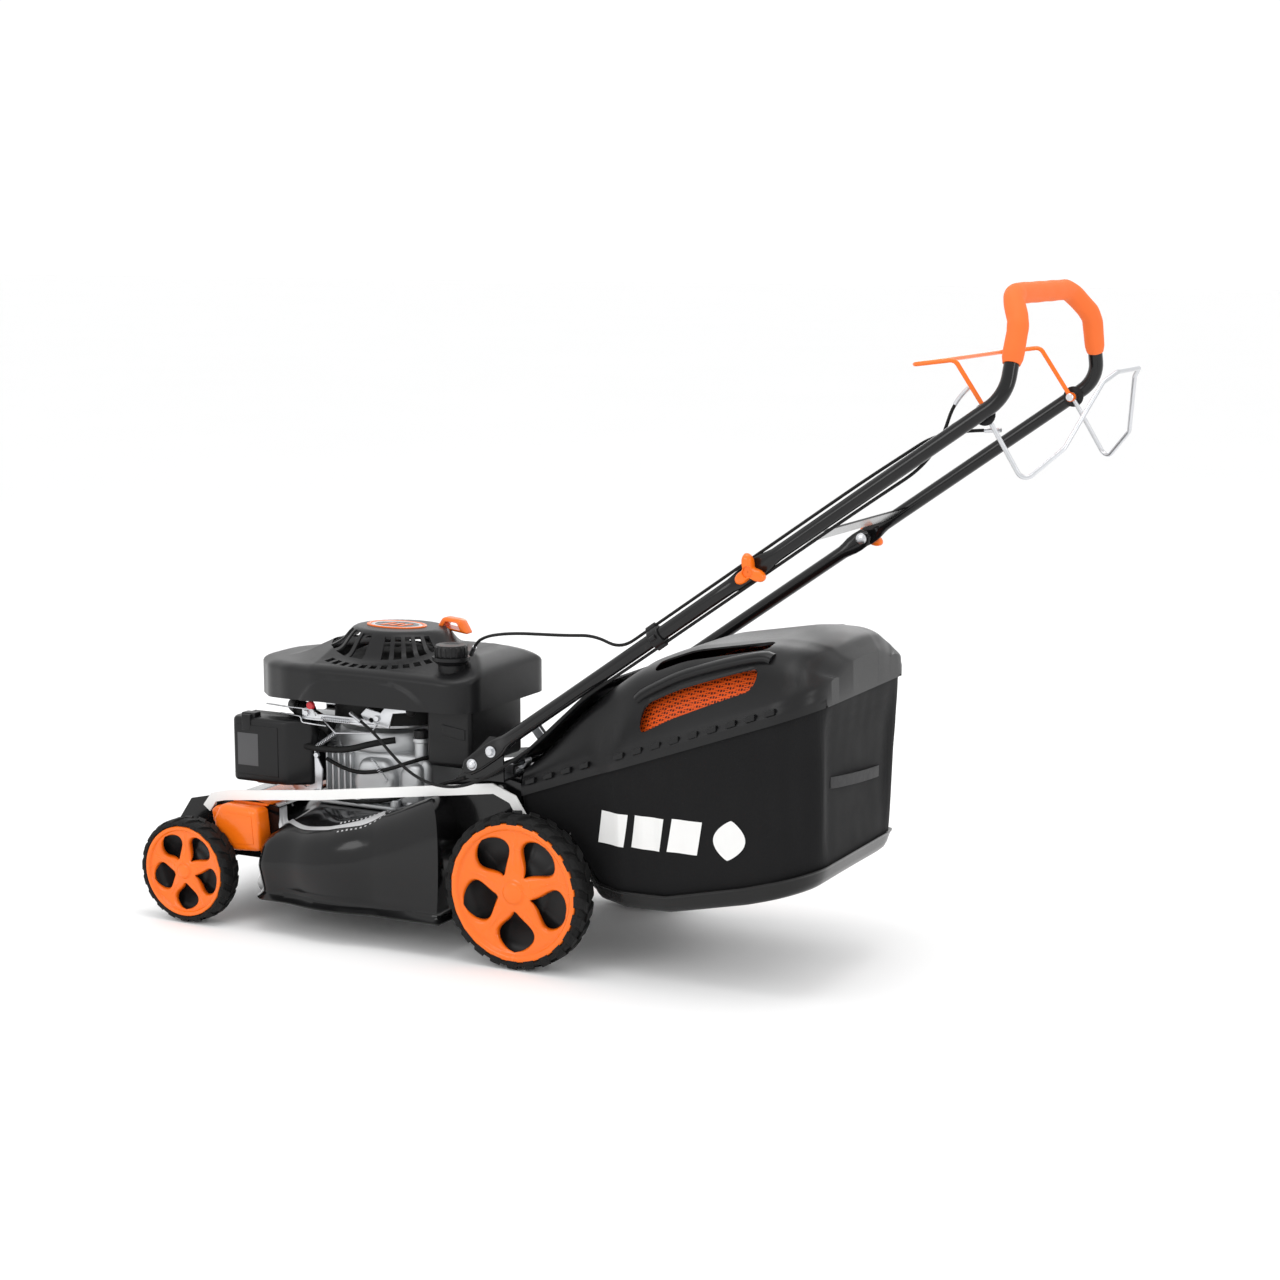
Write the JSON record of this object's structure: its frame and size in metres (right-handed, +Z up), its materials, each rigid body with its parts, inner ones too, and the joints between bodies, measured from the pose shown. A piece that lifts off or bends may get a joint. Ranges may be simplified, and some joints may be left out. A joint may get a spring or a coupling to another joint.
{
  "type": "petrol lawn mower",
  "caption": "Walk-behind petrol lawn mower with pressed steel deck, folding handle, two bails and a rear grass catcher.",
  "frame": {"origin": "on the ground under the middle of the machine's box", "axes": "+X in the direction of travel, +Y to the operator's left, +Z up"},
  "size_m": [1.6356, 0.488, 1.0923],
  "materials": {
    "black_steel": "gloss black enamel",
    "white_steel": "satin white paint",
    "zinc_steel": "zinc plated",
    "cast_alloy": "die cast",
    "dark_iron": "cast",
    "orange_plastic": "gloss",
    "black_plastic": "satin moulded",
    "tyre": "matte rubber",
    "foam": "soft foam",
    "rubber": "satin",
    "orange_wire": "orange coated wire",
    "fabric": "woven polyester"
  },
  "bodies": {
    "chassis": {"deck_shell": "black_steel", "front_cover": "orange_plastic", "side_rails": "white_steel", "handle_brackets": "black_steel", "axle_bushes": "black_plastic", "drive_belt": "rubber", "engine_crankcase": "cast_alloy", "engine_cylinder": "cast_alloy", "spark_plug": "black_plastic", "muffler": "dark_iron", "muffler_guard": "zinc_steel", "carburettor": "cast_alloy", "air_filter_base": "black_plastic", "fuel_tank": "black_plastic", "engine_cover": "black_plastic", "cover_badge": "black_plastic", "control_bracket": "zinc_steel", "lower_handles": "black_steel", "handle_bolts": "zinc_steel", "brake_cable": "rubber", "drive_cable": "rubber", "cable_clip": "black_plastic", "flap_rod": "zinc_steel", "flap_spring": "zinc_steel"},
    "rear_axle_group": {"rear_axle": "zinc_steel", "height_lever_grip": "black_plastic", "transmission": "cast_alloy"},
    "front_axle_group": {"front_axle": "zinc_steel"},
    "rear_left_wheel": {"rear_left_rim": "orange_plastic", "rear_left_tyre": "tyre"},
    "rear_right_wheel": {"rear_right_rim": "orange_plastic", "rear_right_tyre": "tyre"},
    "front_left_wheel": {"front_left_rim": "orange_plastic", "front_left_tyre": "tyre"},
    "front_right_wheel": {"front_right_rim": "orange_plastic", "front_right_tyre": "tyre"},
    "blade_drive": {"crankshaft": "zinc_steel", "blade_adapter": "dark_iron", "blade_bolt": "zinc_steel", "blade": "dark_iron", "engine_pulley": "dark_iron", "flywheel": "cast_alloy"},
    "drive_pulley": {"transmission_pulley": "dark_iron"},
    "filter_lid": {"air_filter_cover": "black_plastic"},
    "fuel_filler_cap": {"fuel_cap": "black_plastic"},
    "oil_filler_cap": {"oil_cap": "black_plastic"},
    "starter_grip": {"starter_handle": "orange_plastic"},
    "handle_top": {"upper_handle": "black_steel", "foam_grip": "foam", "cross_brace": "black_steel", "bail_brackets": "black_steel"},
    "brake_lever": {"brake_bail": "orange_wire"},
    "drive_lever": {"drive_bail": "zinc_steel"},
    "knob_left": {"wing_knob_left": "orange_plastic"},
    "knob_right": {"wing_knob_right": "orange_plastic"},
    "flap": {"discharge_flap": "black_plastic"},
    "catcher": {"catcher_lid": "black_plastic", "catcher_fabric": "fabric", "catcher_tray": "black_plastic", "catcher_strap": "fabric"}
  },
  "joints": [
    {"name": "rear_height", "type": "hinge", "parent": "chassis", "child": "rear_axle_group", "pos_m": [0.1416, 0, 0.127], "axis": [0, 1, 0], "range_deg": [-20, 25], "deforming": ["drive_belt"]},
    {"name": "front_height", "type": "hinge", "parent": "chassis", "child": "front_axle_group", "pos_m": [0.7782, 0, 0.09], "axis": [0, 1, 0], "range_deg": [-20, 25]},
    {"name": "rear_left_wheel_spin", "type": "hinge", "parent": "rear_axle_group", "child": "rear_left_wheel", "pos_m": [0.0916, 0.208, 0.127], "axis": [0, 1, 0], "continuous": true},
    {"name": "rear_right_wheel_spin", "type": "hinge", "parent": "rear_axle_group", "child": "rear_right_wheel", "pos_m": [0.0916, -0.208, 0.127], "axis": [0, 1, 0], "continuous": true},
    {"name": "front_left_wheel_spin", "type": "hinge", "parent": "front_axle_group", "child": "front_left_wheel", "pos_m": [0.7282, 0.222, 0.09], "axis": [0, 1, 0], "continuous": true},
    {"name": "front_right_wheel_spin", "type": "hinge", "parent": "front_axle_group", "child": "front_right_wheel", "pos_m": [0.7282, -0.222, 0.09], "axis": [0, 1, 0], "continuous": true},
    {"name": "blade_spin", "type": "hinge", "parent": "chassis", "child": "blade_drive", "pos_m": [0.4466, 0, 0.095], "axis": [0, 0, 1], "continuous": true},
    {"name": "transmission_pulley_spin", "type": "hinge", "parent": "rear_axle_group", "child": "drive_pulley", "pos_m": [0.1466, 0, 0.15], "axis": [0, 0, 1], "continuous": true},
    {"name": "filter_cover_pull", "type": "slide", "parent": "chassis", "child": "filter_lid", "axis": [0, 1, 0], "range_m": [0, 0.027]},
    {"name": "fuel_cap_twist", "type": "hinge", "parent": "chassis", "child": "fuel_filler_cap", "pos_m": [0.2796, 0.098, 0.48], "axis": [0, 0, 1], "range_deg": [0, 360]},
    {"name": "oil_cap_twist", "type": "hinge", "parent": "chassis", "child": "oil_filler_cap", "pos_m": [0.3476, 0.084, 0.335], "axis": [0, 0, 1], "range_deg": [0, 360]},
    {"name": "starter_pull", "type": "slide", "parent": "chassis", "child": "starter_grip", "axis": [-0.8, 0, 0.6], "range_m": [0, 0.3], "stiffness_N_per_m": 25, "springref_m": -0.05},
    {"name": "handle_fold", "type": "hinge", "parent": "chassis", "child": "handle_top", "pos_m": [-0.3186, 0, 0.6682], "axis": [0, 1, 0], "range_deg": [0, 135], "deforming": ["brake_cable", "drive_cable"]},
    {"name": "brake_bail_squeeze", "type": "hinge", "parent": "handle_top", "child": "brake_lever", "pos_m": [-0.6684, 0, 0.91], "axis": [0, 1, 0], "range_deg": [-38, 0], "stiffness_Nm_per_rad": 1.5, "springref_deg": 17.19, "deforming": ["brake_cable"]},
    {"name": "drive_bail_squeeze", "type": "hinge", "parent": "handle_top", "child": "drive_lever", "pos_m": [-0.6684, 0, 0.91], "axis": [0, 1, 0], "range_deg": [0, 42], "stiffness_Nm_per_rad": 1.5, "springref_deg": -17.19, "deforming": ["drive_cable"]},
    {"name": "wing_knob_left_turn", "type": "hinge", "parent": "handle_top", "child": "knob_left", "pos_m": [-0.3186, 0.232, 0.6682], "axis": [0, 1, 0], "range_deg": [0, 720]},
    {"name": "wing_knob_right_turn", "type": "hinge", "parent": "handle_top", "child": "knob_right", "pos_m": [-0.3186, -0.232, 0.6682], "axis": [0, 1, 0], "range_deg": [0, 720]},
    {"name": "flap_swing", "type": "hinge", "parent": "chassis", "child": "flap", "pos_m": [0.1376, 0, 0.313], "axis": [0, 1, 0], "range_deg": [0, 50], "stiffness_Nm_per_rad": 0.3, "springref_deg": -34.38},
    {"name": "catcher_lift_off", "type": "slide", "parent": "chassis", "child": "catcher", "axis": [-0.9659, 0, 0.2588], "range_m": [0, 0.25]}
  ],
  "couplings": [
    {"joint": "front_height", "follows": "rear_height", "ratio": 1},
    {"joint": "transmission_pulley_spin", "follows": "blade_spin", "ratio": 0.65}
  ]
}
